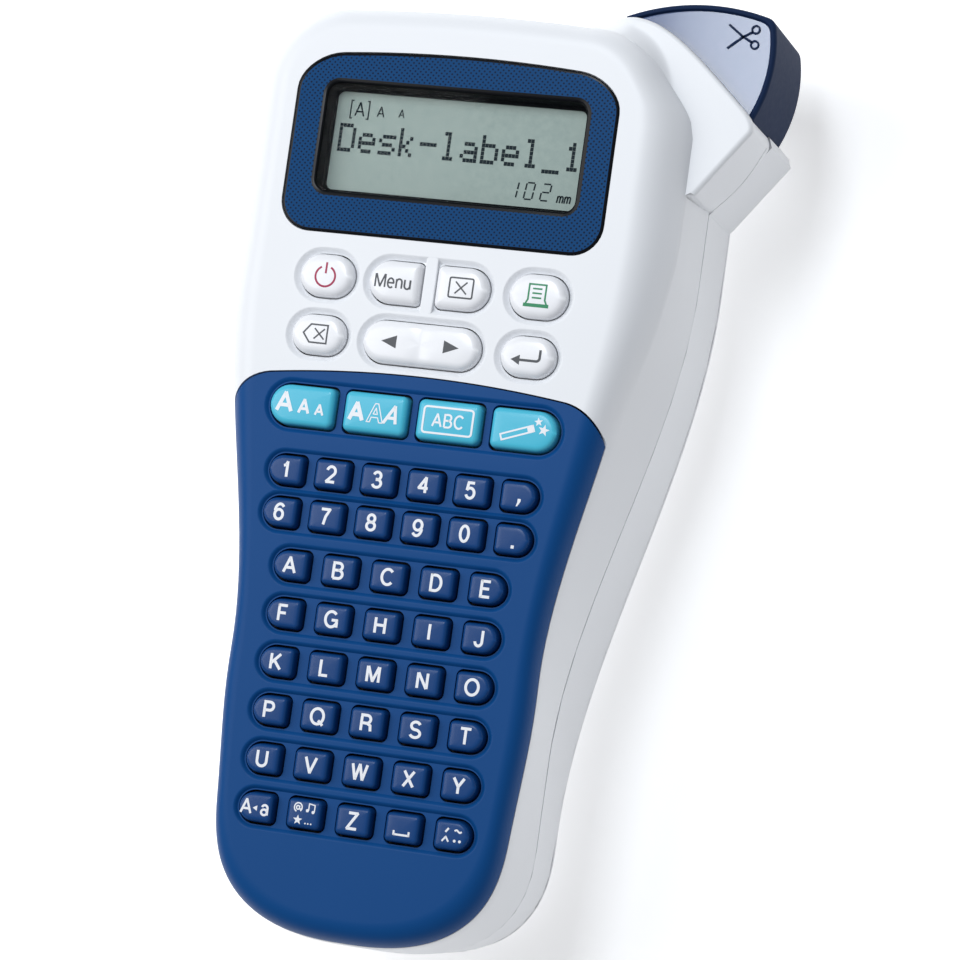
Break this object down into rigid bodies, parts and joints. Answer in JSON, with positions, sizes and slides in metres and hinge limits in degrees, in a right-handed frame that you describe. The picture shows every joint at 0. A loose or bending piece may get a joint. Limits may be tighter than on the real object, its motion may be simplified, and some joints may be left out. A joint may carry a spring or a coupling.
{
  "type": "label maker",
  "caption": "Hand-held label maker with a waisted white housing, a navy keypad, a small display and a cutter lever beside the tape exit.",
  "frame": {"origin": "centre of the flat back face that the label maker rests on", "axes": "+X right and +Y towards the cutter end as the keys are read, +Z out through the keys"},
  "size_m": [0.1141, 0.2035, 0.0585],
  "materials": {
    "white_abs": "satin",
    "navy_abs": "satin",
    "bezel_blue": "gloss",
    "lever_navy": "gloss",
    "key_white": "gloss",
    "key_cyan": "gloss",
    "clear": "clear",
    "lcd": "matt",
    "rubber": "matt",
    "board_green": "satin",
    "steel": "brushed",
    "gear_nylon": "matt",
    "cassette_grey": "satin",
    "tape_white": "matt",
    "cell_green": "satin"
  },
  "bodies": {
    "housing": {"front_housing": "white_abs", "rear_housing": "white_abs", "keypad_panel": "navy_abs", "display_bezel": "bezel_blue", "display_window": "clear", "lcd_module": "lcd", "key_mat": "rubber", "main_board": "board_green", "motor": "steel", "print_head": "steel", "roller_holder": "cassette_grey", "tape_exit_guide": "cassette_grey", "lever_pivot_pin": "steel", "lever_spring": "steel", "battery_contact_left": "steel", "battery_contact_right": "steel", "housing_screw_1": "steel", "housing_screw_2": "steel", "housing_screw_3": "steel", "housing_screw_4": "steel"},
    "back_cover": {"back_cover": "white_abs"},
    "cassette": {"cassette_case": "cassette_grey", "label_tape": "tape_white"},
    "label_roll": {"label_roll": "tape_white"},
    "ribbon_spool": {"ribbon_spool": "cassette_grey"},
    "batteries": {"battery_1": "cell_green", "battery_2": "cell_green", "battery_3": "cell_green", "battery_4": "cell_green", "battery_5": "cell_green", "battery_6": "cell_green"},
    "cutter_lever": {"cutter_lever": "lever_navy"},
    "blade": {"blade_carrier": "gear_nylon", "cutter_blade": "steel"},
    "platen": {"platen_shaft": "steel", "platen_roller": "rubber", "platen_gear": "gear_nylon"},
    "motor_pinion": {"motor_pinion": "steel"},
    "first_drive_gear": {"first_drive_gear": "gear_nylon"},
    "second_drive_gear": {"second_drive_gear": "gear_nylon"},
    "ribbon_spindle": {"ribbon_spindle": "gear_nylon"},
    "key_power": {"key_power": "key_white"},
    "key_menu": {"key_menu": "key_white"},
    "key_clear": {"key_clear": "key_white"},
    "key_print": {"key_print": "key_white"},
    "key_backspace": {"key_backspace": "key_white"},
    "key_arrows": {"key_arrows": "key_white"},
    "key_enter": {"key_enter": "key_white"},
    "key_text_size": {"key_text_size": "key_cyan"},
    "key_text_style": {"key_text_style": "key_cyan"},
    "key_frame": {"key_frame": "key_cyan"},
    "key_design": {"key_design": "key_cyan"},
    "key_row_digits_1": {"key_row_digits_1": "navy_abs"},
    "key_row_digits_2": {"key_row_digits_2": "navy_abs"},
    "key_row_a_e": {"key_row_a_e": "navy_abs"},
    "key_row_f_j": {"key_row_f_j": "navy_abs"},
    "key_row_k_o": {"key_row_k_o": "navy_abs"},
    "key_row_p_t": {"key_row_p_t": "navy_abs"},
    "key_row_u_y": {"key_row_u_y": "navy_abs"},
    "key_row_z_space": {"key_row_z_space": "navy_abs"}
  },
  "joints": [
    {"name": "back_cover_lift", "type": "slide", "parent": "housing", "child": "back_cover", "axis": [0, 0, -1], "range_m": [0, 0.08]},
    {"name": "cassette_lift", "type": "slide", "parent": "housing", "child": "cassette", "axis": [0, 0, -1], "range_m": [0, 0.03]},
    {"name": "battery_lift", "type": "slide", "parent": "housing", "child": "batteries", "axis": [0, 0, -1], "range_m": [0, 0.02]},
    {"name": "cutter_lever_press", "type": "hinge", "parent": "housing", "child": "cutter_lever", "pos_m": [0.0328, 0.0947, 0.033], "axis": [0, 0, -1], "range_deg": [0, 8], "stiffness_Nm_per_rad": 0.5, "springref_deg": -2.86},
    {"name": "blade_slide", "type": "slide", "parent": "housing", "child": "blade", "axis": [0.8078, -0.5895, 0], "range_m": [0, 0.003]},
    {"name": "platen_spin", "type": "hinge", "parent": "housing", "child": "platen", "pos_m": [0.04087, 0.06692, 0.025], "axis": [0, 0, 1], "continuous": true},
    {"name": "motor_pinion_spin", "type": "hinge", "parent": "housing", "child": "motor_pinion", "pos_m": [0.028, 0.02, 0.025], "axis": [0, 0, 1], "continuous": true},
    {"name": "first_gear_spin", "type": "hinge", "parent": "housing", "child": "first_drive_gear", "pos_m": [0.02652, 0.03694, 0.025], "axis": [0, 0, 1], "continuous": true},
    {"name": "second_gear_spin", "type": "hinge", "parent": "housing", "child": "second_drive_gear", "pos_m": [0.03184, 0.05621, 0.025], "axis": [0, 0, 1], "continuous": true},
    {"name": "ribbon_spindle_spin", "type": "hinge", "parent": "housing", "child": "ribbon_spindle", "pos_m": [0.00682, 0.03346, 0.025], "axis": [0, 0, 1], "continuous": true},
    {"name": "label_roll_spin", "type": "hinge", "parent": "cassette", "child": "label_roll", "pos_m": [-0.011, 0.063, 0.025], "axis": [0, 0, 1], "continuous": true},
    {"name": "ribbon_spool_spin", "type": "hinge", "parent": "cassette", "child": "ribbon_spool", "pos_m": [0.00682, 0.03346, 0.025], "axis": [0, 0, 1], "continuous": true},
    {"name": "key_power_press", "type": "slide", "parent": "housing", "child": "key_power", "axis": [0, 0, -1], "range_m": [0, 0.0008], "stiffness_N_per_m": 400, "springref_m": -0.0005},
    {"name": "key_menu_press", "type": "slide", "parent": "housing", "child": "key_menu", "axis": [0, 0, -1], "range_m": [0, 0.0008], "stiffness_N_per_m": 400, "springref_m": -0.0005},
    {"name": "key_clear_press", "type": "slide", "parent": "housing", "child": "key_clear", "axis": [0, 0, -1], "range_m": [0, 0.0008], "stiffness_N_per_m": 400, "springref_m": -0.0005},
    {"name": "key_print_press", "type": "slide", "parent": "housing", "child": "key_print", "axis": [0, 0, -1], "range_m": [0, 0.0008], "stiffness_N_per_m": 400, "springref_m": -0.0005},
    {"name": "key_backspace_press", "type": "slide", "parent": "housing", "child": "key_backspace", "axis": [0, 0, -1], "range_m": [0, 0.0008], "stiffness_N_per_m": 400, "springref_m": -0.0005},
    {"name": "key_arrows_rock", "type": "hinge", "parent": "housing", "child": "key_arrows", "pos_m": [-0.0001, 0.0269, 0.0541], "axis": [0, 1, 0], "range_deg": [-2.2, 2.2], "stiffness_Nm_per_rad": 0.05},
    {"name": "key_enter_press", "type": "slide", "parent": "housing", "child": "key_enter", "axis": [0, 0, -1], "range_m": [0, 0.0008], "stiffness_N_per_m": 400, "springref_m": -0.0005},
    {"name": "key_text_size_press", "type": "slide", "parent": "housing", "child": "key_text_size", "axis": [0, 0, -1], "range_m": [0, 0.0008], "stiffness_N_per_m": 400, "springref_m": -0.0005},
    {"name": "key_text_style_press", "type": "slide", "parent": "housing", "child": "key_text_style", "axis": [0, 0, -1], "range_m": [0, 0.0008], "stiffness_N_per_m": 400, "springref_m": -0.0005},
    {"name": "key_frame_press", "type": "slide", "parent": "housing", "child": "key_frame", "axis": [0, 0, -1], "range_m": [0, 0.0008], "stiffness_N_per_m": 400, "springref_m": -0.0005},
    {"name": "key_design_press", "type": "slide", "parent": "housing", "child": "key_design", "axis": [0, 0, -1], "range_m": [0, 0.0008], "stiffness_N_per_m": 400, "springref_m": -0.0005},
    {"name": "key_row_digits_1_press", "type": "slide", "parent": "housing", "child": "key_row_digits_1", "axis": [0, 0, -1], "range_m": [0, 0.0008], "stiffness_N_per_m": 400, "springref_m": -0.0005},
    {"name": "key_row_digits_2_press", "type": "slide", "parent": "housing", "child": "key_row_digits_2", "axis": [0, 0, -1], "range_m": [0, 0.0008], "stiffness_N_per_m": 400, "springref_m": -0.0005},
    {"name": "key_row_a_e_press", "type": "slide", "parent": "housing", "child": "key_row_a_e", "axis": [0, 0, -1], "range_m": [0, 0.0008], "stiffness_N_per_m": 400, "springref_m": -0.0005},
    {"name": "key_row_f_j_press", "type": "slide", "parent": "housing", "child": "key_row_f_j", "axis": [0, 0, -1], "range_m": [0, 0.0008], "stiffness_N_per_m": 400, "springref_m": -0.0005},
    {"name": "key_row_k_o_press", "type": "slide", "parent": "housing", "child": "key_row_k_o", "axis": [0, 0, -1], "range_m": [0, 0.0008], "stiffness_N_per_m": 400, "springref_m": -0.0005},
    {"name": "key_row_p_t_press", "type": "slide", "parent": "housing", "child": "key_row_p_t", "axis": [0, 0, -1], "range_m": [0, 0.0008], "stiffness_N_per_m": 400, "springref_m": -0.0005},
    {"name": "key_row_u_y_press", "type": "slide", "parent": "housing", "child": "key_row_u_y", "axis": [0, 0, -1], "range_m": [0, 0.0008], "stiffness_N_per_m": 400, "springref_m": -0.0005},
    {"name": "key_row_z_space_press", "type": "slide", "parent": "housing", "child": "key_row_z_space", "axis": [0, 0, -1], "range_m": [0, 0.0008], "stiffness_N_per_m": 400, "springref_m": -0.0005}
  ],
  "couplings": [
    {"joint": "cassette_lift", "follows": "back_cover_lift", "ratio": 0.375},
    {"joint": "battery_lift", "follows": "back_cover_lift", "ratio": 0.25},
    {"joint": "blade_slide", "follows": "cutter_lever_press", "m_per_rad": 0.0214},
    {"joint": "second_gear_spin", "follows": "platen_spin", "ratio": -0.75},
    {"joint": "first_gear_spin", "follows": "platen_spin", "ratio": 0.5},
    {"joint": "motor_pinion_spin", "follows": "platen_spin", "ratio": -1.2},
    {"joint": "ribbon_spindle_spin", "follows": "platen_spin", "ratio": -0.75},
    {"joint": "ribbon_spool_spin", "follows": "platen_spin", "ratio": -0.75},
    {"joint": "label_roll_spin", "follows": "platen_spin", "ratio": -0.25}
  ]
}
